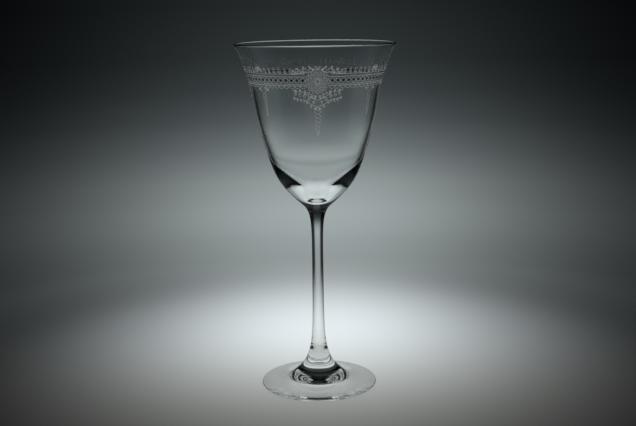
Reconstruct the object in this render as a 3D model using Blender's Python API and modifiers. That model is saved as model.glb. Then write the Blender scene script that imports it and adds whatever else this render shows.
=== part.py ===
"""A red wine glass: a flared bowl on a slim drawn stem and a spread round foot.

The three glass pieces are turned about the Z axis and meet end to end at two fused seams.
Units are metres, +Z is up, and the origin is the centre of the circle that the foot stands on.
"""

import math

import bpy
import numpy as np

# Bowl, outside: the height of each zone from the seam upwards, and the diameter at its top
BASE_HEIGHT = 0.0117
BASE_DIAMETER = 0.0400
BELLY_HEIGHT = 0.0180
BELLY_DIAMETER = 0.0590
SIDE_HEIGHT = 0.0290
SIDE_DIAMETER = 0.0744
NECK_HEIGHT = 0.0240
NECK_DIAMETER = 0.0844
FLARE_HEIGHT = 0.0183
RIM_DIAMETER = 0.1000

# Bowl, inside: the wall at the top of each zone, measured level, and the floor on the axis
FLOOR_THICKNESS = 0.0052
BASE_WALL = 0.0075
BELLY_WALL = 0.0029
SIDE_WALL = 0.00205
NECK_WALL = 0.0018
LIP_THICKNESS = 0.0014

# Stem: each end flares out, and a flare is the length over which it shrinks to about a third
STEM_LENGTH = 0.0951
STEM_DIAMETER = 0.0072
STEM_TOP_DIAMETER = 0.0160
STEM_TOP_FLARE = 0.0053
STEM_END_DIAMETER = 0.0128
STEM_END_FLARE = 0.0090

# Foot: a thin disc that sweeps up to the stem, and stands on a flat ring round a domed hollow.
# A sweep is the width over which it falls to about a third, and the neck has its share of the fall
FOOT_HEIGHT = 0.0206
FOOT_DIAMETER = 0.0738
FOOT_EDGE = 0.0012
FOOT_SWEEP = 0.0100
NECK_SWEEP = 0.0015
NECK_SHARE = 0.1
FOOT_RING_WIDTH = 0.0030
FOOT_HOLLOW_DEPTH = 0.0044
# How far the dome of the hollow spreads: 1 is a plain cosine, and more is fuller
HOLLOW_SHAPE = 1.2

# Clearance left at each fused seam
SEAM_GAP = 0.0003

# Levels of the seams
STEM_BOTTOM = FOOT_HEIGHT + SEAM_GAP
STEM_TOP = STEM_BOTTOM + STEM_LENGTH
BOWL_BOTTOM = STEM_TOP + SEAM_GAP

# Fineness of the turned meshes: facets round the axis, and steps along each profile
BOWL_FACETS = 48
STEM_FACETS = 32
FOOT_FACETS = 48
ZONE_STEPS = 5
CAVITY_STEPS = 22
LIP_STEPS = 4
STEM_STEPS = 26
EDGE_STEPS = 4
SWEEP_STEPS = 14
HOLLOW_STEPS = 8

# Points closer together than this are one point
MERGE_DISTANCE = 0.00001

GLASS_TINT = (0.97, 0.985, 0.98, 1.0)
GLASS_IOR = 1.52
POLISHED = 0.02
FIRE_POLISHED = 0.03
RUBBED = 0.06


def natural_spline(knots, values):
    """Return the smooth function that passes through the values at the knots."""
    knots = np.array(knots, dtype=float)
    values = np.array(values, dtype=float)
    spans = np.diff(knots)
    slopes = np.diff(values) / spans
    count = len(knots)
    system = np.eye(count)
    right = np.zeros(count)
    for i in range(1, count - 1):
        system[i, i - 1 : i + 2] = spans[i - 1], 2 * (spans[i - 1] + spans[i]), spans[i]
        right[i] = 6 * (slopes[i] - slopes[i - 1])
    bends = np.linalg.solve(system, right)

    def value_at(x):
        i = min(max(int(np.searchsorted(knots, x)) - 1, 0), count - 2)
        before = (knots[i + 1] - x) / spans[i]
        after = (x - knots[i]) / spans[i]
        line = before * values[i] + after * values[i + 1]
        curve = (before**3 - before) * bends[i] + (after**3 - after) * bends[i + 1]
        return float(line + curve * spans[i] ** 2 / 6)

    return value_at


def curve_through(points, first, steps):
    """Return even steps along the smooth curve through (radius, height) points, from one of them on."""
    lengths = [math.dist(a, b) for a, b in zip(points, points[1:])]
    along = np.concatenate([[0.0], np.cumsum(lengths)])
    radius_at = natural_spline(along, [p[0] for p in points])
    height_at = natural_spline(along, [p[1] for p in points])
    return [(radius_at(s), height_at(s)) for s in np.linspace(along[first], along[-1], steps + 1)]


def bowl_stations():
    """Return the bowl's (height, outer radius, wall) at the seam's edge and at the top of each zone."""
    zones = [
        (BASE_HEIGHT, BASE_DIAMETER, BASE_WALL),
        (BELLY_HEIGHT, BELLY_DIAMETER, BELLY_WALL),
        (SIDE_HEIGHT, SIDE_DIAMETER, SIDE_WALL),
        (NECK_HEIGHT, NECK_DIAMETER, NECK_WALL),
        (FLARE_HEIGHT, RIM_DIAMETER, LIP_THICKNESS),
    ]
    stations = [(0.0, STEM_TOP_DIAMETER / 2, 0.0)]
    for height, diameter, wall in zones:
        stations.append((stations[-1][0] + height, diameter / 2, wall))
    return stations


def bowl_profile():
    """Return the bowl's section: up the inside from the floor, over the lip and down the outside."""
    stations = bowl_stations()
    walls = [(radius - wall, height) for height, radius, wall in stations[1:]]
    floor = (0.0, FLOOR_THICKNESS)
    # The curve runs on past the axis as its own mirror image, so that the floor is level there
    far_side = [(-radius, height) for radius, height in reversed(walls)]
    inside = curve_through(far_side + [floor] + walls, len(far_side), CAVITY_STEPS)

    rim_height, rim_radius, lip = stations[-1]
    lip_radius = lip / 2
    over_lip = []
    for i in range(1, LIP_STEPS):
        turn = math.pi * i / LIP_STEPS
        radius = rim_radius - lip_radius * (1 + math.cos(turn))
        over_lip.append((radius, rim_height + lip_radius * math.sin(turn)))

    radius_at = natural_spline([s[0] for s in stations], [s[1] for s in stations])
    outside = []
    for lower, upper in zip(stations, stations[1:]):
        for height in np.linspace(lower[0], upper[0], ZONE_STEPS + 1)[1:]:
            outside.append((radius_at(height), float(height)))
    seam_edge = (stations[0][1], 0.0)
    return inside + over_lip + outside[::-1] + [seam_edge, (0.0, 0.0)]


def stem_profile():
    """Return the stem's section: a slim rod whose two ends swell to meet the bowl and the foot."""

    def swell(distance, flare):
        return math.exp(-distance / flare) * (1 - distance / STEM_LENGTH)

    waist = STEM_DIAMETER / 2
    top_swell = STEM_TOP_DIAMETER / 2 - waist
    end_swell = STEM_END_DIAMETER / 2 - waist
    side = []
    for i in range(STEM_STEPS + 1):
        # Steps crowd together towards both ends, where the rod swells
        share = (1 - math.cos(math.pi * i / STEM_STEPS)) / 2
        down = STEM_LENGTH * share
        up = STEM_LENGTH - down
        radius = waist + top_swell * swell(down, STEM_TOP_FLARE) + end_swell * swell(up, STEM_END_FLARE)
        side.append((radius, up))
    return [(0.0, STEM_LENGTH)] + side + [(0.0, 0.0)]


def foot_profile():
    """Return the foot's section: down the sweep to the rounded edge, then in under the hollow."""
    neck_radius = STEM_END_DIAMETER / 2
    edge_radius = FOOT_EDGE / 2
    edge_centre = FOOT_DIAMETER / 2 - edge_radius
    rise = FOOT_HEIGHT - FOOT_EDGE
    spread = edge_centre - neck_radius

    def slope(out):
        return (1 - NECK_SHARE) * math.exp(-out / FOOT_SWEEP) + NECK_SHARE * math.exp(-out / NECK_SWEEP)

    tail = slope(spread)
    sweep = []
    for i in range(SWEEP_STEPS + 1):
        # Steps are closer together near the neck, where the sweep is steepest
        out = spread * (i / SWEEP_STEPS) ** 2
        fall = (slope(out) - tail) / (1 - tail)
        sweep.append((neck_radius + out, FOOT_EDGE + rise * fall))
    edge = []
    for i in range(1, EDGE_STEPS + 1):
        turn = math.pi * i / EDGE_STEPS
        edge.append((edge_centre + edge_radius * math.sin(turn), edge_radius * (1 + math.cos(turn))))
    hollow_radius = edge_centre - FOOT_RING_WIDTH
    hollow = []
    for i in range(HOLLOW_STEPS):
        share = 1 - i / HOLLOW_STEPS
        dome = (1 + math.cos(math.pi * share**HOLLOW_SHAPE)) / 2
        hollow.append((hollow_radius * share, FOOT_HOLLOW_DEPTH * dome))
    return [(0.0, FOOT_HEIGHT)] + sweep + edge + hollow + [(0.0, FOOT_HOLLOW_DEPTH)]


def glass_material(name, roughness):
    """Return a clear glass of the given surface roughness."""
    material = bpy.data.materials.new(name)
    material.use_nodes = True
    shader = material.node_tree.nodes["Principled BSDF"]
    shader.inputs["Base Color"].default_value = GLASS_TINT
    shader.inputs["Metallic"].default_value = 0.0
    shader.inputs["Roughness"].default_value = roughness
    shader.inputs["IOR"].default_value = GLASS_IOR
    shader.inputs["Transmission Weight"].default_value = 1.0
    return material


def turned_piece(name, profile, level, facets, material):
    """Turn a section about the Z axis and stand the piece at its level."""
    mesh = bpy.data.meshes.new(name)
    points = [(radius, 0.0, height) for radius, height in profile]
    edges = [(i, i + 1) for i in range(len(points) - 1)]
    mesh.from_pydata(points, edges, [])
    mesh.materials.append(material)
    piece = bpy.data.objects.new(name, mesh)
    piece.location.z = level
    screw = piece.modifiers.new("Turning", "SCREW")
    screw.axis = "Z"
    screw.steps = facets
    screw.render_steps = facets
    screw.use_merge_vertices = True
    screw.merge_threshold = MERGE_DISTANCE
    screw.use_smooth_shade = True
    return piece


def main():
    for old in list(bpy.data.objects):
        bpy.data.objects.remove(old, do_unlink=True)
    group = bpy.data.collections.new("red_wine_glass")
    bpy.context.scene.collection.children.link(group)

    standing_point = bpy.data.objects.new("standing_point", None)
    group.objects.link(standing_point)
    foot_glass = glass_material("foot_glass", RUBBED)
    stem_glass = glass_material("stem_glass", FIRE_POLISHED)
    bowl_glass = glass_material("bowl_glass", POLISHED)
    pieces = [
        turned_piece("foot", foot_profile(), 0.0, FOOT_FACETS, foot_glass),
        turned_piece("stem", stem_profile(), STEM_BOTTOM, STEM_FACETS, stem_glass),
        turned_piece("bowl", bowl_profile(), BOWL_BOTTOM, BOWL_FACETS, bowl_glass),
    ]
    for piece in pieces:
        group.objects.link(piece)
        piece.parent = standing_point


main()
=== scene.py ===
# The looks of a red wine glass: a flared bowl of clear glass with a band of etched lace,
# on a drawn stem and a spread foot. Units are metres, +Z is up, and the viewer stands at -Y.

import math

import bpy
import numpy as np
from mathutils import Matrix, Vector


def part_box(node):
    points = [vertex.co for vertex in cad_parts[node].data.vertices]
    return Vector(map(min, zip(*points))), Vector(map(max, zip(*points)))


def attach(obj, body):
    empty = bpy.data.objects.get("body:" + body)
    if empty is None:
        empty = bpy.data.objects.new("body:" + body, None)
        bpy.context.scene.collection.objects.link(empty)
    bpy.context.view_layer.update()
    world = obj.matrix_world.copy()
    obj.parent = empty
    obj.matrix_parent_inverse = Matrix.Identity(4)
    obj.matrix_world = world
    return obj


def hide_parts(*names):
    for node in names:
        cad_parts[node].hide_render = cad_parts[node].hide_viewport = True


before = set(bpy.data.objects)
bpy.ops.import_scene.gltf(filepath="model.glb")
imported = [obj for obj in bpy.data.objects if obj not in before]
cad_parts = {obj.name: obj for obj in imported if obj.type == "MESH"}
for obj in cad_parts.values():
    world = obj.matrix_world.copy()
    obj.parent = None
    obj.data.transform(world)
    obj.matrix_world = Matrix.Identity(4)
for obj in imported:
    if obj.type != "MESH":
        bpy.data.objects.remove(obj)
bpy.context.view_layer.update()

MM = 0.001

# The solids' corners, which set the levels and the widest radii
foot_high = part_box("foot")[1]
stem_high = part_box("stem")[1]
bowl_low, bowl_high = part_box("bowl")

# Camera
PICTURE_WIDTH = 636
FOCAL_PIXELS = 1032.2
SENSOR_WIDTH = 36.0
CAMERA_PLACE = (0.00057, -0.63924, 0.24153)
CAMERA_PITCH = math.radians(11.49)
CAMERA_ROLL = math.radians(-0.75)
CAMERA_NEAREST = 0.01

# Light that reaches matt surfaces, how often a ray may bounce, and how many unseen faces it may cross
AMBIENT = 0.80
GLASS_BOUNCES = 48
CLEAR_BOUNCES = 32

# Bowl, outside: the height of each zone from the seam upwards, and the radius at its top
BOWL_ZONES = [
    (11.70 * MM, 20.0 * MM),
    (18.00 * MM, 29.5 * MM),
    (29.00 * MM, 37.2 * MM),
    (24.00 * MM, 42.2 * MM),
]
LIP_THICKNESS = 1.4 * MM
# Bowl, inside: the bottom as radius and height above the seam, then height and wall up to the lip
CAVITY_FLOOR = 5.25 * MM
CAVITY_BOTTOM = [
    (7.05 * MM, 7.5 * MM),
    (11.46 * MM, 11.0 * MM),
    (15.67 * MM, 15.0 * MM),
    (19.55 * MM, 19.0 * MM),
    (23.45 * MM, 24.0 * MM),
]
WALLS = [
    (30.0 * MM, 2.90 * MM),
    (38.0 * MM, 2.50 * MM),
    (46.0 * MM, 2.25 * MM),
    (58.7 * MM, 2.05 * MM),
    (78.9 * MM, 1.85 * MM),
]

# Stem: each end swells, and a flare is the length over which the swelling shrinks to about a third
STEM_RADIUS = 3.6 * MM
STEM_TOP_FLARE = 5.3 * MM
STEM_END_RADIUS = 6.4 * MM
STEM_END_FLARE = 9.0 * MM

# Foot: a thin disc that sweeps up to the stem, and stands on a flat ring round a domed hollow.
# A sweep is the width over which it falls to about a third, and the neck has its share of the fall
FOOT_EDGE = 1.2 * MM
FOOT_SWEEP = 10.0 * MM
NECK_SWEEP = 1.5 * MM
NECK_SHARE = 0.1
FOOT_RING_WIDTH = 3.0 * MM
FOOT_HOLLOW_DEPTH = 4.4 * MM
# How far the dome of the hollow spreads: 1 is a plain cosine, and more is fuller
HOLLOW_SHAPE = 1.2

# The fused seams show as a hairline between the stem and its neighbours
SEAM_HAIRLINE = 0.04 * MM
STEM_TOP = bowl_low.z - SEAM_HAIRLINE
STEM_BOTTOM = foot_high.z + SEAM_HAIRLINE

# Fineness of the turned glass
TURNS = 192
OUTSIDE_STEPS = 110
CAVITY_STEPS = 130
LIP_STEPS = 12
STEM_STEPS = 110
SWEEP_STEPS = 60
SWEEP_CROWDING = 1.6
EDGE_STEPS = 14
HOLLOW_STEPS = 30
MERGE = 0.002 * MM
SHARP = math.radians(35)

# Glass
GLASS_TINT = (0.985, 0.995, 0.990, 1.0)
GLASS_IOR = 1.52
SMUDGED_ROUGHNESS = 0.012
# Etched lines: the two greys of their grain, seen from outside
ETCHED_DEEP = (0.30, 0.32, 0.32, 1.0)
ETCHED_PALE = (0.70, 0.73, 0.73, 1.0)
# Their inner faces, seen through the wall, in darker greys as painted shade
INSIDE_PAINTED_SHADE_DEEP = (0.13, 0.14, 0.14, 1.0)
INSIDE_PAINTED_SHADE_PALE = (0.29, 0.30, 0.30, 1.0)
# The beads: the two greys of their grain, near-black as painted shade
BEAD_PAINTED_SHADE_DEEP = (0.008, 0.009, 0.009, 1.0)
BEAD_PAINTED_SHADE_PALE = (0.035, 0.038, 0.038, 1.0)
ETCHED_ROUGHNESS = 0.6

# Etched lace: where it lies on the bowl, and which of its places hold which ornament
BAND_LEVEL = 81.0 * MM
LACE_LIFT = 0.05 * MM
LACE_TURN = math.radians(1.8)
LACE_PLACES = 7
MEDALLION_PLACES = (0, 2, 5)
DROP_PLACES = (1, 3, 4, 6)
# Its drawing, in millimetres, with heights measured from the middle of the band
WRAP_RADIUS = 41.6
LACE_LINE = 0.20
LACE_FLATNESS = 0.25
FLOWER_REACH = 6.9
CELL_WIDTH = 3.3
BEAD_LEVEL = 0.55
BEAD_RADIUS = 0.9

# Backdrop: a round wall, with its greys on a screen by the elevation, in degrees, at which
# the camera sees them on the far side
BACKDROP_RADIUS = 0.925
BACKDROP_SIDES = 128
BACKDROP = [
    (-40, 165),
    (-15.5, 165),
    (-14.0, 153),
    (-13.0, 158),
    (-12.2, 166),
    (-11.3, 169),
    (-9.7, 155),
    (-8.0, 122),
    (-6.3, 90),
    (-4.7, 68),
    (-3.0, 53),
    (0.0, 41),
    (8, 30),
    (40, 22),
]
CEILING = 22
# Tints of its dark and its bright greys
COOL_TINT = (0.86, 1.06, 1.12)
PLAIN_TINT = (0.915, 1.03, 1.04)
COOL_GREY = 40
PLAIN_GREY = 150
# The glass sees the glow as a soft-edged window on each of the room's four sides, and the camera
# sees it fall off to about a third at a width. It is dimmer on all sides but the far one, and the
# room between the windows keeps a small share of it
GLOW_SPACING = math.radians(90)
GLOW_EDGE = (math.radians(11.4), math.radians(28.7))
GLOW_WIDTH = math.radians(18.67)
SIDE_GLOW = 0.45
ROOM_SHARE = 0.03
# Heights between which what the glass mirrors of the wall goes from dark to plain
DARK_BELOW = (-0.40, -0.20)

# Floor: a disc that fades out between two radii
FLOOR_RADIUS = 0.45
FLOOR_SIDES = 96
FLOOR_LEVEL = -0.1 * MM
FLOOR_FADE = (0.20, 0.34)
FLOOR_ROUGHNESS = 0.9
# Its tone is painted light: a pool of light behind the glass, and a slope given as place and tone at
# each end, which falls off to both sides
FLOOR_POOL = (0.003, 0.101, 0.0)
FLOOR_POOL_RADIUS = 0.130
FLOOR_POOL_LIGHT = 0.66
FLOOR_NEAR = (-0.30, -0.03)
FLOOR_FAR = (0.30, 0.30)
FLOOR_SPREAD = 0.125
# Tone added under the foot, to make up for light that the glass throws back, and its soft edge
FOOT_LIGHT = 0.095
FOOT_LIGHT_EDGE = (30.0 * MM, 38.0 * MM)
# Tints of the floor in front of the foot and behind it, and where one gives way to the other
NEAR_TINT = (0.975, 1.01, 0.97)
FAR_TINT = (0.925, 1.01, 1.04)
TINT_PLACES = (-0.06, 0.12)
# The share of its tone that shadows can't take, and the share of the floor that the glass mirrors
FLOOR_GLOW = 0.80
FLOOR_SHEEN = 0.2

# Lamp
SOFTBOX_SIZE = (0.5, 0.4)
SOFTBOX_POWER = 1.2
SOFTBOX_PLACE = (0.0, 0.05, 0.9)


# Shapes of curves


def natural_spline(knots, values):
    """Return the smooth function that passes through the values at the knots."""
    knots = np.array(knots, dtype=float)
    values = np.array(values, dtype=float)
    spans = np.diff(knots)
    slopes = np.diff(values) / spans
    count = len(knots)
    system = np.eye(count)
    right = np.zeros(count)
    for i in range(1, count - 1):
        system[i, i - 1 : i + 2] = spans[i - 1], 2 * (spans[i - 1] + spans[i]), spans[i]
        right[i] = 6 * (slopes[i] - slopes[i - 1])
    bends = np.linalg.solve(system, right)

    def value_at(x):
        i = min(max(int(np.searchsorted(knots, x)) - 1, 0), count - 2)
        before = (knots[i + 1] - x) / spans[i]
        after = (x - knots[i]) / spans[i]
        line = before * values[i] + after * values[i + 1]
        curve = (before**3 - before) * bends[i] + (after**3 - after) * bends[i + 1]
        return float(line + curve * spans[i] ** 2 / 6)

    return value_at


def bowl_stations():
    """Return the bowl's outside as heights above the seam and radii."""
    heights = [0.0]
    radii = [stem_high.x]
    for height, radius in BOWL_ZONES:
        heights.append(heights[-1] + height)
        radii.append(radius)
    heights.append(bowl_high.z - bowl_low.z - LIP_THICKNESS / 2)
    radii.append(bowl_high.x)
    return heights, radii


outside_radius = natural_spline(*bowl_stations())


# Turned glass


def bowl_section():
    """Go up the inside from the floor, over the lip, down the outside and in along the seam."""
    heights, radii = bowl_stations()
    lip = LIP_THICKNESS / 2
    walls = CAVITY_BOTTOM + [(outside_radius(height) - wall, height) for height, wall in WALLS]
    walls.append((radii[-1] - LIP_THICKNESS, heights[-1]))
    # The curve runs on past the axis as its own mirror image, so that the floor is level there
    far_side = [(-radius, height) for radius, height in reversed(walls)]
    points = far_side + [(0.0, CAVITY_FLOOR)] + walls
    along = np.concatenate([[0.0], np.cumsum([math.dist(a, b) for a, b in zip(points, points[1:])])])
    radius_at = natural_spline(along, [p[0] for p in points])
    height_at = natural_spline(along, [p[1] for p in points])
    section = []
    for s in np.linspace(along[len(far_side)], along[-1], CAVITY_STEPS + 1):
        section.append((radius_at(s), height_at(s)))
    for turn in np.linspace(0, math.pi, LIP_STEPS + 1)[1:]:
        section.append((radii[-1] - lip * (1 + math.cos(turn)), heights[-1] + lip * math.sin(turn)))
    for height in np.linspace(heights[-1], 0.0, OUTSIDE_STEPS + 1)[1:]:
        section.append((outside_radius(height), height))
    section.append((0.0, 0.0))
    return [(radius, bowl_low.z + height) for radius, height in section]


def stem_section():
    """Go down the rod from the bowl's seam to the foot's; both ends swell."""
    length = STEM_TOP - STEM_BOTTOM

    def swell(distance, flare):
        return math.exp(-distance / flare) * (1 - distance / length)

    section = [(0.0, STEM_TOP)]
    for i in range(STEM_STEPS + 1):
        # Steps crowd together towards both ends, where the rod swells
        down = length * (1 - math.cos(math.pi * i / STEM_STEPS)) / 2
        radius = STEM_RADIUS
        radius += (stem_high.x - STEM_RADIUS) * swell(down, STEM_TOP_FLARE)
        radius += (STEM_END_RADIUS - STEM_RADIUS) * swell(length - down, STEM_END_FLARE)
        section.append((radius, STEM_TOP - down))
    section.append((0.0, STEM_BOTTOM))
    return section


def foot_section():
    """Go down the sweep to the rounded edge, then in under the ring and the hollow."""
    edge_radius = FOOT_EDGE / 2
    edge_centre = foot_high.x - edge_radius
    rise = foot_high.z - FOOT_EDGE
    spread = edge_centre - STEM_END_RADIUS

    def sweep(out):
        return (1 - NECK_SHARE) * math.exp(-out / FOOT_SWEEP) + NECK_SHARE * math.exp(-out / NECK_SWEEP)

    tail = sweep(spread)
    section = [(0.0, foot_high.z)]
    for i in range(SWEEP_STEPS + 1):
        # Steps are closer together near the neck, where the sweep is steepest
        out = spread * (i / SWEEP_STEPS) ** SWEEP_CROWDING
        fall = (sweep(out) - tail) / (1 - tail)
        section.append((STEM_END_RADIUS + out, FOOT_EDGE + rise * fall))
    for turn in np.linspace(0, math.pi, EDGE_STEPS + 1)[1:]:
        section.append((edge_centre + edge_radius * math.sin(turn), edge_radius * (1 + math.cos(turn))))
    hollow_radius = edge_centre - FOOT_RING_WIDTH
    for share in np.linspace(1, 0, HOLLOW_STEPS + 1):
        dome = (1 + math.cos(math.pi * share**HOLLOW_SHAPE)) / 2
        section.append((hollow_radius * share, FOOT_HOLLOW_DEPTH * dome))
    return section


def turned_piece(name, section, materials, seams):
    """Draw a section by extruding a corner along it, spin it round the axis and close it."""
    bpy.ops.object.select_all(action="DESELECT")
    bpy.ops.mesh.primitive_plane_add(size=MM)
    piece = bpy.context.object
    piece.name = name
    piece.data.name = name
    bpy.ops.object.mode_set(mode="EDIT")
    bpy.ops.mesh.select_all(action="SELECT")
    bpy.ops.mesh.merge(type="CENTER")
    bpy.ops.transform.translate(value=(section[0][0], 0.0, section[0][1]))
    for before, after in zip(section, section[1:]):
        step = (after[0] - before[0], 0.0, after[1] - before[1])
        bpy.ops.mesh.extrude_region_move(TRANSFORM_OT_translate={"value": step})
    bpy.ops.mesh.select_all(action="SELECT")
    bpy.ops.mesh.spin(steps=TURNS, angle=math.tau, center=(0, 0, 0), axis=(0, 0, 1))
    bpy.ops.mesh.select_all(action="SELECT")
    bpy.ops.mesh.remove_doubles(threshold=MERGE)
    bpy.ops.mesh.normals_make_consistent(inside=False)
    bpy.ops.object.mode_set(mode="OBJECT")
    bpy.ops.object.shade_smooth_by_angle(angle=SHARP)
    for material in materials:
        piece.data.materials.append(material)
    for face in piece.data.polygons:
        on_seam = any(abs(face.center.z - level) < MERGE for level in seams)
        face.material_index = 1 if on_seam else 0
    return piece


# Etched lace: strokes drawn flat, in millimetres, and then laid on the bowl. A stroke is its points,
# whether it is closed, and its weight


def polar(radius, heading):
    """A point at a distance from the middle; the heading is in degrees."""
    turn = math.radians(heading)
    return radius * math.cos(turn), radius * math.sin(turn)


def path(points, weight=1.0):
    """A plain open stroke."""
    return points, False, weight


def bend(start, pull, push, end, steps=12, weight=1.0):
    """A cubic curve from start to end."""
    corners = (start, pull, push, end)
    points = []
    for t in np.linspace(0, 1, steps + 1):
        weights = ((1 - t) ** 3, 3 * t * (1 - t) ** 2, 3 * t * t * (1 - t), t**3)
        points.append(tuple(sum(w * c[k] for w, c in zip(weights, corners)) for k in (0, 1)))
    return points, False, weight


def spiral(centre, start_radius, end_radius, start, sweep, steps=16):
    """A curl about a centre; angles are in degrees."""
    points = []
    for t in np.linspace(0, 1, steps + 1):
        u, v = polar(start_radius + (end_radius - start_radius) * t, start + sweep * t)
        points.append((centre[0] + u, centre[1] + v))
    return points, False, 1.0


def ring(centre, radius, steps=8, weight=1.0):
    """A closed circle."""
    points = []
    for i in range(steps):
        u, v = polar(radius, 360 * i / steps)
        points.append((centre[0] + u, centre[1] + v))
    return points, True, weight


def leaf(root, heading, length, width, steps=12):
    """A closed leaf from its root and a vein along it; the heading is in degrees."""
    ahead = polar(1.0, heading)

    def spot(along, aside):
        u = root[0] + along * ahead[0] - aside * ahead[1]
        v = root[1] + along * ahead[1] + aside * ahead[0]
        return u, v

    edge = []
    for i in range(steps):
        turn = math.tau * i / steps
        along = length * (1 - math.cos(turn)) / 2
        edge.append(spot(along, width / 2 * math.sin(turn) * (0.6 + 0.4 * along / length)))
    vein = [spot(0.1 * length, 0.0), spot(0.75 * length, 0.0)]
    return [(edge, True, 1.0), path(vein, 0.8)]


def twist(top, bottom, top_width, bottom_width, pitch):
    """The slanting strokes of a twisted cord that hangs down the middle."""
    strokes = []
    count = round((top - bottom) / pitch)
    for i in range(count):
        level = top - pitch * i
        width = top_width + (bottom_width - top_width) * i / count
        strand = [
            (-width, level),
            (-width, level - pitch),
            (width, level - 0.4 * pitch),
            (width, level - 1.4 * pitch),
        ]
        tuck = [
            (width, level),
            (width, level - 0.3 * pitch),
            (0.6 * width, level - 0.5 * pitch),
            (0.3 * width, level - 0.5 * pitch),
        ]
        strokes.append(bend(*strand, 6))
        strokes.append(bend(*tuck, 4, 0.8))
    return strokes


def both_sides(strokes):
    """Add the mirror image of the strokes across the middle line."""
    mirrored = [([(-u, v) for u, v in points], closed, weight) for points, closed, weight in strokes]
    return strokes + mirrored


def rosette():
    """A round flower of eight petals inside a scalloped ring."""
    strokes = [ring((0, 0), 5.6, 36, 1.1), ring((0, 0), 1.0, 10, 1.1)]
    for i in range(8):
        heading = 45 * i
        strokes += leaf(polar(1.2, heading), heading, 3.9, 2.0)
        strokes.append(ring(polar(4.4, heading + 22.5), 0.5, 8))
    for i in range(16):
        heading = 22.5 * i
        strokes.append(spiral(polar(6.1, heading), 0.95, 0.95, heading - 105, 210, 8))
    return strokes


def crest():
    """A pointed pair of leaves above the flower and scrolled arches that step down to the band."""
    side = leaf((0.3, 6.6), 68, 2.6, 1.2)
    side += leaf((1.6, 6.5), 32, 2.4, 1.1)
    arches = [(3.6, 6.6, 1.5), (6.9, 6.4, 1.55), (10.2, 5.6, 1.35), (13.2, 4.9, 1.1)]
    for u, v, radius in arches:
        side.append(spiral((u, v), radius, 0.35, 190, -500, 20))
        side += leaf((u + 0.3 * radius, v + 0.8 * radius), 62, 1.4, 0.8)
    side.append(bend((2.4, 6.0), (6.0, 5.2), (11.0, 4.6), (15.8, 4.3), 14))
    return both_sides(side)


def wings():
    """Two leafy vines on each side that fall from the band to the point below the flower."""
    side = [
        bend((15.7, -5.0), (12.0, -6.8), (8.6, -5.0), (6.6, -7.6), 12, 1.1),
        bend((6.6, -7.6), (5.0, -9.4), (2.6, -9.8), (0.0, -11.2), 10, 1.1),
        bend((15.6, -9.0), (11.2, -11.4), (7.6, -9.6), (5.6, -12.6), 12, 1.1),
        bend((5.6, -12.6), (4.2, -13.8), (2.2, -13.8), (0.0, -14.9), 10, 1.1),
    ]
    curls = [
        (13.6, -7.3, 1.1),
        (10.8, -8.0, 1.2),
        (8.0, -8.6, 1.2),
        (5.2, -10.6, 1.15),
        (2.4, -12.2, 0.9),
    ]
    for u, v, radius in curls:
        side.append(spiral((u, v), radius, 0.3, 150, -480, 18))
    tendrils = [(7.6, -6.0, 0.7), (5.5, -7.0, 0.9), (3.6, -8.2, 1.0), (1.4, -8.9, 0.95)]
    for u, v, radius in tendrils:
        side.append(spiral((u, v), radius, 0.25, 30, 480, 16))
    lower_leaves = [
        (14.6, -9.3, -100),
        (12.6, -10.2, -95),
        (10.4, -10.5, -90),
        (8.2, -10.7, -85),
        (6.4, -11.6, -70),
        (3.6, -13.9, -60),
    ]
    upper_leaves = [
        (13.0, -5.9, 60),
        (10.4, -6.0, 80),
        (8.0, -6.2, -120),
        (4.4, -9.5, 150),
        (2.2, -10.3, 130),
    ]
    for u, v, heading in lower_leaves + upper_leaves:
        side += leaf((u, v), heading, 1.5, 0.9)
    return both_sides(side)


def pendant():
    """A twisted cord below the point, with a bud at its end."""
    strokes = twist(-15.2, -29.6, 2.2, 1.3, 2.4)
    for level, radius in ((-30.4, 0.7), (-31.6, 0.5)):
        strokes.append(ring((0, level), radius, 8))
    return strokes + both_sides(leaf((0.4, -15.4), -35, 1.8, 1.0))


def medallion():
    """The large ornament."""
    return rosette() + crest() + wings() + pendant()


def drop():
    """The small ornament: curls above and below the band and a short cord."""
    side = [spiral((1.7, 6.2), 1.4, 0.3, -120, 480), spiral((2.2, -5.4), 1.4, 0.3, 100, -480)]
    side += leaf((0.3, 5.8), 75, 2.8, 1.1)
    side += leaf((3.4, -4.8), -30, 1.8, 0.9)
    return both_sides(side) + twist(-6.4, -19.6, 1.6, 0.8, 2.2) + [ring((0, -20.4), 0.6, 8)]


def edging(middle):
    """One curl of the edging above the band, with a bead on top."""
    return [spiral((middle, 5.3), 1.0, 0.3, -90, 440, 12), ring((middle, 7.1), 0.4, 6)]


def band_cells():
    """For each stretch of band between two flowers, the left edges of its cells and their width."""
    full = math.tau * WRAP_RADIUS
    starts = [place * full / LACE_PLACES for place in MEDALLION_PLACES]
    stretches = []
    for start, end in zip(starts, starts[1:] + [full]):
        first = start + FLOWER_REACH
        last = end - FLOWER_REACH
        count = round((last - first) / CELL_WIDTH)
        width = (last - first) / count
        stretches.append(([first + width * i for i in range(count)], width))
    return stretches


def band():
    """Lines round the bowl, broken by the flowers, with rings for the beads and two edgings."""
    strokes = []
    for lefts, width in band_cells():
        line = [lefts[0] + width * i / 2 for i in range(2 * len(lefts) + 1)]
        for level, weight in ((4.2, 0.7), (2.7, 1.2), (-1.6, 1.0), (-2.5, 1.2)):
            strokes.append(path([(u, level) for u in line], weight))
        for left in lefts:
            right = left + width
            middle = left + width / 2
            scallop = [(left, -2.6), (left + 0.7, -4.8), (right - 0.7, -4.8), (right, -2.6)]
            strokes.append(ring((middle, BEAD_LEVEL), 1.3, 10, 0.9))
            strokes.append(bend(*scallop, 6, 0.9))
            strokes += edging(middle)
    return strokes


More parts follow.
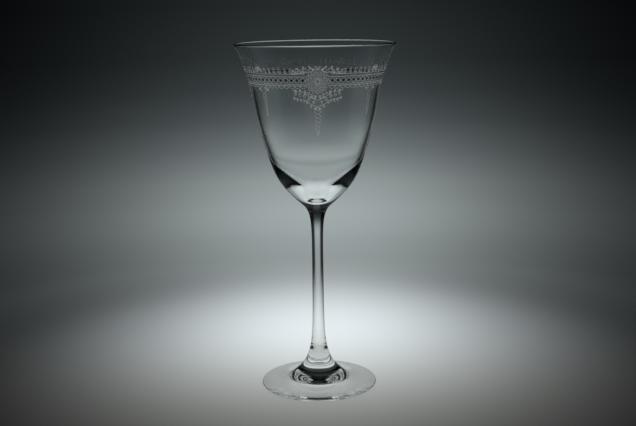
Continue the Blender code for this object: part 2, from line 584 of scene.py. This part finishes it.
def beads():
    """The beads along the band, dark as painted shade: small rings whose line is so heavy that it fills
    them.
    """
    weight = BEAD_RADIUS / LACE_LINE
    strokes = []
    for lefts, width in band_cells():
        for left in lefts:
            strokes.append(ring((left + width / 2, BEAD_LEVEL), BEAD_RADIUS / 2, 8, weight))
    return strokes


def at_places(strokes, places):
    """Repeat strokes at places round the bowl."""
    spacing = math.tau * WRAP_RADIUS / LACE_PLACES
    repeated = []
    for place in places:
        for points, closed, weight in strokes:
            repeated.append(([(u + place * spacing, v) for u, v in points], closed, weight))
    return repeated


def etched_piece(name, strokes, materials):
    """Draw strokes as a flat curve, give them their width, and lay them on the bowl."""
    bpy.ops.object.select_all(action="DESELECT")
    bpy.ops.curve.primitive_bezier_curve_add()
    piece = bpy.context.object
    piece.name = name
    curve = piece.data
    curve.splines.clear()
    curve.dimensions = "3D"
    curve.bevel_depth = LACE_LINE / 2 * MM
    curve.bevel_resolution = 0
    curve.use_fill_caps = True
    for points, closed, weight in strokes:
        spline = curve.splines.new("POLY")
        spline.points.add(len(points) - 1)
        for point, (u, v) in zip(spline.points, points):
            point.co = (u * MM, v * MM, 0.0, 1.0)
            point.radius = weight
        spline.use_cyclic_u = closed
    bpy.ops.object.convert(target="MESH")
    piece = bpy.context.object
    piece.data.name = name
    for point in piece.data.vertices:
        turn = point.co.x / (WRAP_RADIUS * MM) + LACE_TURN
        height = BAND_LEVEL + point.co.y
        radius = outside_radius(height) + LACE_LIFT + point.co.z * LACE_FLATNESS
        point.co = (radius * math.sin(turn), -radius * math.cos(turn), bowl_low.z + height)
    bpy.ops.object.mode_set(mode="EDIT")
    bpy.ops.mesh.select_all(action="SELECT")
    bpy.ops.mesh.remove_doubles(threshold=MERGE)
    bpy.ops.mesh.normals_make_consistent(inside=False)
    bpy.ops.object.mode_set(mode="OBJECT")
    bpy.ops.object.shade_smooth()
    for material in materials:
        piece.data.materials.append(material)
    # The first material faces out, and the last one, a darker copy as painted shade, shows through the
    # wall
    for face in piece.data.polygons:
        outward = face.normal.x * face.center.x + face.normal.y * face.center.y
        face.material_index = 0 if outward > 0 else len(materials) - 1
    return piece


# Materials


def new_material(name):
    """Return a new material and its tree of nodes."""
    material = bpy.data.materials.new(name)
    material.use_nodes = True
    return material, material.node_tree


def new_group(name, inputs, outputs):
    """Return an empty shader group and its nodes for inputs and outputs."""
    group = bpy.data.node_groups.new(name, "ShaderNodeTree")
    for label, kind, value in inputs:
        socket = group.interface.new_socket(label, in_out="INPUT", socket_type=kind)
        if value is not None:
            socket.default_value = value
    for label, kind in outputs:
        group.interface.new_socket(label, in_out="OUTPUT", socket_type=kind)
    return group, group.nodes.new("NodeGroupInput"), group.nodes.new("NodeGroupOutput")


def ripple_group():
    """Slow ripples left in the wall by blowing and drawing."""
    group, given, result = new_group(
        "blown_ripple",
        [("Place", "NodeSocketVector", None), ("Ripples", "NodeSocketFloat", 60.0)],
        [("Height", "NodeSocketFloat")],
    )
    noise = group.nodes.new("ShaderNodeTexNoise")
    noise.inputs["Detail"].default_value = 1.0
    group.links.new(given.outputs["Place"], noise.inputs["Vector"])
    group.links.new(given.outputs["Ripples"], noise.inputs["Scale"])
    group.links.new(noise.outputs["Fac"], result.inputs["Height"])
    return group


def smudge_group():
    """Faint marks of wiping: a roughness between clean and smudged."""
    group, given, result = new_group(
        "wiped_smudges",
        [
            ("Place", "NodeSocketVector", None),
            ("Size", "NodeSocketFloat", 40.0),
            ("Clean", "NodeSocketFloat", 0.0),
            ("Smudged", "NodeSocketFloat", 0.02),
        ],
        [("Roughness", "NodeSocketFloat")],
    )
    noise = group.nodes.new("ShaderNodeTexNoise")
    noise.inputs["Detail"].default_value = 4.0
    spread = group.nodes.new("ShaderNodeMapRange")
    spread.interpolation_type = "SMOOTHSTEP"
    spread.inputs["From Min"].default_value = 0.50
    spread.inputs["From Max"].default_value = 0.75
    group.links.new(given.outputs["Place"], noise.inputs["Vector"])
    group.links.new(given.outputs["Size"], noise.inputs["Scale"])
    group.links.new(noise.outputs["Fac"], spread.inputs["Value"])
    group.links.new(given.outputs["Clean"], spread.inputs["To Min"])
    group.links.new(given.outputs["Smudged"], spread.inputs["To Max"])
    group.links.new(spread.outputs["Result"], result.inputs["Roughness"])
    return group


def clear_glass(name, ripple, smudges, ripples, ripple_depth):
    """Return clear glass with faint ripples and wiping marks."""
    material, tree = new_material(name)
    shader = tree.nodes["Principled BSDF"]
    shader.inputs["Base Color"].default_value = GLASS_TINT
    shader.inputs["Metallic"].default_value = 0.0
    shader.inputs["IOR"].default_value = GLASS_IOR
    shader.inputs["Transmission Weight"].default_value = 1.0
    place = tree.nodes.new("ShaderNodeTexCoord")
    wave = tree.nodes.new("ShaderNodeGroup")
    wave.node_tree = ripple
    wave.inputs["Ripples"].default_value = ripples
    wiped = tree.nodes.new("ShaderNodeGroup")
    wiped.node_tree = smudges
    wiped.inputs["Smudged"].default_value = SMUDGED_ROUGHNESS
    bump = tree.nodes.new("ShaderNodeBump")
    bump.inputs["Strength"].default_value = 1.0
    bump.inputs["Distance"].default_value = ripple_depth
    tree.links.new(place.outputs["Object"], wave.inputs["Place"])
    tree.links.new(place.outputs["Object"], wiped.inputs["Place"])
    tree.links.new(wave.outputs["Height"], bump.inputs["Height"])
    tree.links.new(bump.outputs["Normal"], shader.inputs["Normal"])
    tree.links.new(wiped.outputs["Roughness"], shader.inputs["Roughness"])
    return material


def fused_seam():
    """Return the material of the unseen faces where two glass pieces are fused."""
    material, tree = new_material("fused_seam")
    tree.nodes["Principled BSDF"].inputs["Alpha"].default_value = 0.0
    return material


def grain_group():
    """The fine grain of an etched surface: a colour between deep and pale."""
    group, given, result = new_group(
        "etched_grain",
        [
            ("Place", "NodeSocketVector", None),
            ("Fineness", "NodeSocketFloat", 2500.0),
            ("Deep", "NodeSocketColor", (0.2, 0.2, 0.2, 1.0)),
            ("Pale", "NodeSocketColor", (0.5, 0.5, 0.5, 1.0)),
        ],
        [("Color", "NodeSocketColor")],
    )
    noise = group.nodes.new("ShaderNodeTexNoise")
    noise.inputs["Detail"].default_value = 2.0
    spread = group.nodes.new("ShaderNodeMapRange")
    spread.inputs["From Min"].default_value = 0.35
    spread.inputs["From Max"].default_value = 0.65
    mix = group.nodes.new("ShaderNodeMixRGB")
    group.links.new(given.outputs["Place"], noise.inputs["Vector"])
    group.links.new(given.outputs["Fineness"], noise.inputs["Scale"])
    group.links.new(noise.outputs["Fac"], spread.inputs["Value"])
    group.links.new(spread.outputs["Result"], mix.inputs["Fac"])
    group.links.new(given.outputs["Deep"], mix.inputs["Color1"])
    group.links.new(given.outputs["Pale"], mix.inputs["Color2"])
    group.links.new(mix.outputs["Color"], result.inputs["Color"])
    return group


def etched_glass(name, grain, deep, pale):
    """Return the frosted grey of etched lines; with darker greys it gives their painted shade."""
    material, tree = new_material(name)
    shader = tree.nodes["Principled BSDF"]
    shader.inputs["Roughness"].default_value = ETCHED_ROUGHNESS
    place = tree.nodes.new("ShaderNodeTexCoord")
    grained = tree.nodes.new("ShaderNodeGroup")
    grained.node_tree = grain
    grained.inputs["Deep"].default_value = deep
    grained.inputs["Pale"].default_value = pale
    tree.links.new(place.outputs["Object"], grained.inputs["Place"])
    tree.links.new(grained.outputs["Color"], shader.inputs["Base Color"])
    return material


# Helpers for the nodes of the stage


def chain(tree, operation, first, second=None):
    """Add a math node fed by links or numbers."""
    node = tree.nodes.new("ShaderNodeMath")
    node.operation = operation
    for socket, value in zip(node.inputs, (first, second)):
        if value is None:
            continue
        if isinstance(value, (int, float)):
            socket.default_value = value
        else:
            tree.links.new(value, socket)
    return node.outputs[0]


def smooth_step(tree, value, places, results):
    """Add a node that goes smoothly from one result to the other between two places."""
    node = tree.nodes.new("ShaderNodeMapRange")
    node.interpolation_type = "SMOOTHSTEP"
    node.inputs["From Min"].default_value, node.inputs["From Max"].default_value = places
    node.inputs["To Min"].default_value, node.inputs["To Max"].default_value = results
    tree.links.new(value, node.inputs["Value"])
    return node.outputs["Result"]


def bell(tree, value, width):
    """Add nodes that fall off smoothly from 1 at zero to about a third at the width."""
    square = chain(tree, "POWER", chain(tree, "DIVIDE", value, width), 2.0)
    return chain(tree, "EXPONENT", chain(tree, "MULTIPLY", square, -1.0))


def distance_from(tree, place, centre):
    """Add a node that measures how far a place is from a point."""
    node = tree.nodes.new("ShaderNodeVectorMath")
    node.operation = "DISTANCE"
    node.inputs[1].default_value = centre
    tree.links.new(place, node.inputs[0])
    return node.outputs["Value"]


def split_place(tree, place):
    """Add a node that splits a place into its X, Y and Z."""
    node = tree.nodes.new("ShaderNodeSeparateXYZ")
    tree.links.new(place, node.inputs[0])
    return node.outputs["X"], node.outputs["Y"], node.outputs["Z"]


def mixed(tree, share, first, second):
    """Add a mix of two shaders, with the share of the second."""
    node = tree.nodes.new("ShaderNodeMixShader")
    tree.links.new(share, node.inputs["Fac"])
    tree.links.new(first, node.inputs[1])
    tree.links.new(second, node.inputs[2])
    return node.outputs[0]


def seen_plainly(tree):
    """A mask of rays from the camera, straight or by way of the glass, that nothing matt scattered."""
    rays = tree.nodes.new("ShaderNodeLightPath")
    seen = chain(tree, "MAXIMUM", rays.outputs["Is Camera Ray"], rays.outputs["Is Glossy Ray"])
    seen = chain(tree, "MAXIMUM", seen, rays.outputs["Is Transmission Ray"])
    return chain(tree, "MULTIPLY", seen, chain(tree, "LESS_THAN", rays.outputs["Diffuse Depth"], 0.5))


def only_mirrored(tree):
    """A mask of rays that the glass has thrown back, and not let through."""
    rays = tree.nodes.new("ShaderNodeLightPath")
    return chain(tree, "SUBTRACT", rays.outputs["Is Glossy Ray"], rays.outputs["Is Transmission Ray"])


def linear(grey):
    """The light of a grey on a screen, from 0 to 255."""
    grey = grey / 255
    return ((grey + 0.055) / 1.055) ** 2.4 if grey > 0.04 else grey / 12.92


def backdrop_color(grey):
    """A grey on a screen as a tinted light; the darker it is, the cooler."""
    share = min(max((grey - COOL_GREY) / (PLAIN_GREY - COOL_GREY), 0), 1)
    tint = [cool + (plain - cool) * share for cool, plain in zip(COOL_TINT, PLAIN_TINT)]
    return [linear(grey) * c for c in tint] + [1.0]


# Stage


def set_camera():
    data = bpy.data.cameras.new("camera")
    data.sensor_width = SENSOR_WIDTH
    data.lens = FOCAL_PIXELS / PICTURE_WIDTH * SENSOR_WIDTH
    data.clip_start = CAMERA_NEAREST
    camera = bpy.data.objects.new("camera", data)
    bpy.context.scene.collection.objects.link(camera)
    tilt = Matrix.Rotation(math.pi / 2 - CAMERA_PITCH, 4, "X") @ Matrix.Rotation(CAMERA_ROLL, 4, "Z")
    camera.matrix_world = Matrix.Translation(CAMERA_PLACE) @ tilt
    bpy.context.scene.camera = camera


def set_world():
    """A dark ceiling for the camera and the glass, and plain light for matt surfaces."""
    world = bpy.data.worlds.new("studio")
    bpy.context.scene.world = world
    world.use_nodes = True
    tree = world.node_tree
    tree.nodes.clear()
    end = tree.nodes.new("ShaderNodeOutputWorld")
    ceiling = tree.nodes.new("ShaderNodeBackground")
    ceiling.inputs["Color"].default_value = backdrop_color(CEILING)
    ambient = tree.nodes.new("ShaderNodeBackground")
    ambient.inputs["Color"].default_value = (1, 1, 1, 1)
    ambient.inputs["Strength"].default_value = AMBIENT
    lit = mixed(tree, seen_plainly(tree), ambient.outputs[0], ceiling.outputs[0])
    tree.links.new(lit, end.inputs["Surface"])


def backdrop_levels():
    """The heights on the wall of the backdrop's greys."""
    reach = BACKDROP_RADIUS - CAMERA_PLACE[1]
    return [CAMERA_PLACE[2] + math.tan(math.radians(elevation)) * reach for elevation, grey in BACKDROP]


def backdrop_greys(tree, up):
    """The colours of the backdrop by height."""
    levels = backdrop_levels()
    share = tree.nodes.new("ShaderNodeMapRange")
    share.inputs["From Min"].default_value = levels[0]
    share.inputs["From Max"].default_value = levels[-1]
    tree.links.new(up, share.inputs["Value"])
    ramp = tree.nodes.new("ShaderNodeValToRGB")
    tree.links.new(share.outputs["Result"], ramp.inputs["Fac"])
    stops = ramp.color_ramp.elements
    while len(stops) < len(BACKDROP):
        stops.new(0.5)
    for stop, level, (elevation, grey) in zip(stops, levels, BACKDROP):
        stop.position = (level - levels[0]) / (levels[-1] - levels[0])
        stop.color = backdrop_color(grey)
    return ramp.outputs["Color"]


def backdrop_strength(tree, across, along, up):
    """The strength of the glow round the room: a window for the glass, a soft fall for the camera."""
    turn = chain(tree, "ARCTAN2", across, along)
    aside = chain(tree, "PINGPONG", turn, GLOW_SPACING / 2)
    window = smooth_step(tree, aside, GLOW_EDGE, (1.0, 0.0))
    rays = tree.nodes.new("ShaderNodeLightPath")
    change = chain(tree, "SUBTRACT", bell(tree, aside, GLOW_WIDTH), window)
    change = chain(tree, "MULTIPLY", change, rays.outputs["Is Camera Ray"])
    glow = chain(tree, "ADD", window, change)
    ahead = chain(tree, "LESS_THAN", chain(tree, "ABSOLUTE", turn), GLOW_SPACING / 2)
    level = chain(tree, "ADD", chain(tree, "MULTIPLY", ahead, 1 - SIDE_GLOW), SIDE_GLOW)
    glow = chain(tree, "MULTIPLY", glow, level)
    strength = chain(tree, "ADD", chain(tree, "MULTIPLY", glow, 1 - ROOM_SHARE), ROOM_SHARE)
    # The glass mirrors nothing bright from below the floor
    below = smooth_step(tree, up, DARK_BELOW, (1.0, 0.0))
    cut = chain(tree, "MULTIPLY", only_mirrored(tree), below)
    return chain(tree, "MULTIPLY", strength, chain(tree, "SUBTRACT", 1.0, cut))


def backdrop_glow():
    """Return the backdrop's material: its glow, and plain light for matt surfaces."""
    material, tree = new_material("backdrop_glow")
    place = tree.nodes.new("ShaderNodeTexCoord")
    across, along, up = split_place(tree, place.outputs["Object"])
    seen = tree.nodes.new("ShaderNodeEmission")
    tree.links.new(backdrop_greys(tree, up), seen.inputs["Color"])
    tree.links.new(backdrop_strength(tree, across, along, up), seen.inputs["Strength"])
    ambient = tree.nodes.new("ShaderNodeEmission")
    ambient.inputs["Strength"].default_value = AMBIENT
    lit = mixed(tree, seen_plainly(tree), ambient.outputs[0], seen.outputs[0])
    tree.links.new(lit, tree.nodes["Material Output"].inputs["Surface"])
    material.cycles.emission_sampling = "NONE"
    return material


def set_backdrop():
    """A round wall that only the camera and the glass see."""
    levels = backdrop_levels()
    height = levels[-1] - levels[0]
    bpy.ops.object.select_all(action="DESELECT")
    bpy.ops.mesh.primitive_cylinder_add(
        vertices=BACKDROP_SIDES, radius=BACKDROP_RADIUS, depth=height, end_fill_type="NOTHING"
    )
    wall = bpy.context.object
    wall.name = "backdrop"
    bpy.ops.object.mode_set(mode="EDIT")
    bpy.ops.mesh.select_all(action="SELECT")
    bpy.ops.transform.translate(value=(0.0, 0.0, levels[0] + height / 2))
    bpy.ops.object.mode_set(mode="OBJECT")
    bpy.ops.object.shade_smooth()
    wall.data.materials.append(backdrop_glow())
    wall.visible_diffuse = False
    wall.visible_shadow = False


def floor_color(tree, place, from_axis):
    """The floor's paint: its tone by place, which is painted light, tinted in front of the foot and
    behind it.
    """
    across, along = split_place(tree, place)[:2]
    pool = bell(tree, distance_from(tree, place, FLOOR_POOL), FLOOR_POOL_RADIUS)
    slope = tree.nodes.new("ShaderNodeMapRange")
    slope.inputs["From Min"].default_value, slope.inputs["To Min"].default_value = FLOOR_NEAR
    slope.inputs["From Max"].default_value, slope.inputs["To Max"].default_value = FLOOR_FAR
    tree.links.new(along, slope.inputs["Value"])
    spread = chain(tree, "MULTIPLY", slope.outputs["Result"], bell(tree, across, FLOOR_SPREAD))
    tone = chain(tree, "ADD", chain(tree, "MULTIPLY", pool, FLOOR_POOL_LIGHT), spread)
    tone = chain(tree, "ADD", tone, smooth_step(tree, from_axis, FOOT_LIGHT_EDGE, (FOOT_LIGHT, 0.0)))
    behind = smooth_step(tree, along, TINT_PLACES, (0.0, 1.0))
    paint = tree.nodes.new("ShaderNodeCombineColor")
    for channel, near, far in zip(("Red", "Green", "Blue"), NEAR_TINT, FAR_TINT):
        tint = chain(tree, "ADD", chain(tree, "MULTIPLY", behind, far - near), near)
        tree.links.new(chain(tree, "MULTIPLY", tone, tint), paint.inputs[channel])
    return paint.outputs["Color"]


def floor_paper():
    """Return the floor's material."""
    material, tree = new_material("floor_paper")
    shader = tree.nodes["Principled BSDF"]
    shader.inputs["Roughness"].default_value = FLOOR_ROUGHNESS
    shader.inputs["Specular IOR Level"].default_value = 0.0
    place = tree.nodes.new("ShaderNodeTexCoord").outputs["Object"]
    from_axis = distance_from(tree, place, (0.0, 0.0, 0.0))
    paint = floor_color(tree, place, from_axis)
    tree.links.new(paint, shader.inputs["Base Color"])
    # Seen directly or through the glass, the floor keeps part of its tone where the glass shades it
    glow = tree.nodes.new("ShaderNodeEmission")
    tree.links.new(paint, glow.inputs["Color"])
    kept = chain(tree, "MULTIPLY", seen_plainly(tree), FLOOR_GLOW)
    toned = mixed(tree, kept, shader.outputs[0], glow.outputs[0])
    # It fades out far from the glass, and the glass mirrors only a share of it
    clear = tree.nodes.new("ShaderNodeBsdfTransparent")
    fade = smooth_step(tree, from_axis, FLOOR_FADE, (0.0, 1.0))
    cut = chain(tree, "MULTIPLY", only_mirrored(tree), 1 - FLOOR_SHEEN)
    faded = mixed(tree, chain(tree, "MAXIMUM", fade, cut), toned, clear.outputs[0])
    tree.links.new(faded, tree.nodes["Material Output"].inputs["Surface"])
    material.cycles.emission_sampling = "NONE"
    return material


def set_floor():
    bpy.ops.object.select_all(action="DESELECT")
    bpy.ops.mesh.primitive_circle_add(
        vertices=FLOOR_SIDES, radius=FLOOR_RADIUS, fill_type="NGON", location=(0, 0, FLOOR_LEVEL)
    )
    floor = bpy.context.object
    floor.name = "floor"
    floor.data.materials.append(floor_paper())


def set_lights():
    data = bpy.data.lights.new("overhead_softbox", "AREA")
    data.shape = "RECTANGLE"
    data.size, data.size_y = SOFTBOX_SIZE
    data.energy = SOFTBOX_POWER
    lamp = bpy.data.objects.new("overhead_softbox", data)
    lamp.location = SOFTBOX_PLACE
    lamp.visible_camera = False
    lamp.visible_transmission = False
    lamp.visible_glossy = False
    bpy.context.scene.collection.objects.link(lamp)


def set_render():
    scene = bpy.context.scene
    scene.view_settings.view_transform = "Standard"
    scene.cycles.max_bounces = GLASS_BOUNCES
    scene.cycles.transmission_bounces = GLASS_BOUNCES
    scene.cycles.glossy_bounces = GLASS_BOUNCES
    scene.cycles.transparent_max_bounces = CLEAR_BOUNCES


def dress(piece, slot, *nodes):
    """Make a piece ride with the glass and stand for its node."""
    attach(piece, "root")
    if nodes:
        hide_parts(*nodes)


# The finished glass

ripple = ripple_group()
smudges = smudge_group()
seam = fused_seam()
bowl_clear = clear_glass("bowl_clear", ripple, smudges, ripples=45.0, ripple_depth=0.02 * MM)
stem_clear = clear_glass("stem_clear", ripple, smudges, ripples=70.0, ripple_depth=0.01 * MM)
foot_clear = clear_glass("foot_clear", ripple, smudges, ripples=50.0, ripple_depth=0.004 * MM)
grain = grain_group()
# Etched finishes: the grey outside, and a darker copy for the inner faces that is painted shade
etched = [
    etched_glass("etched_outside", grain, ETCHED_DEEP, ETCHED_PALE),
    etched_glass("etched_inside_painted_shade", grain, INSIDE_PAINTED_SHADE_DEEP, INSIDE_PAINTED_SHADE_PALE),
]
# The beads' near-black finish is painted shade
bead_painted_shade = [etched_glass("etched_bead_painted_shade", grain, BEAD_PAINTED_SHADE_DEEP, BEAD_PAINTED_SHADE_PALE)]

bowl = turned_piece("bowl_glass", bowl_section(), [bowl_clear, seam], [bowl_low.z])
stem = turned_piece("stem_glass", stem_section(), [stem_clear, seam], [STEM_TOP, STEM_BOTTOM])
foot = turned_piece("foot_glass", foot_section(), [foot_clear, seam], [foot_high.z])
dress(bowl, "bowl_glass", "bowl")
dress(stem, "stem_glass", "stem")
dress(foot, "foot_glass", "foot")

for name, strokes, finishes in (
    ("etched_band", band(), etched),
    ("etched_beads_painted_shade", beads(), bead_painted_shade),
    ("etched_medallions", at_places(medallion(), MEDALLION_PLACES), etched),
    ("etched_drops", at_places(drop(), DROP_PLACES), etched),
):
    dress(etched_piece(name, strokes, finishes), "bowl_glass")

set_camera()
set_world()
set_backdrop()
set_floor()
set_lights()
set_render()
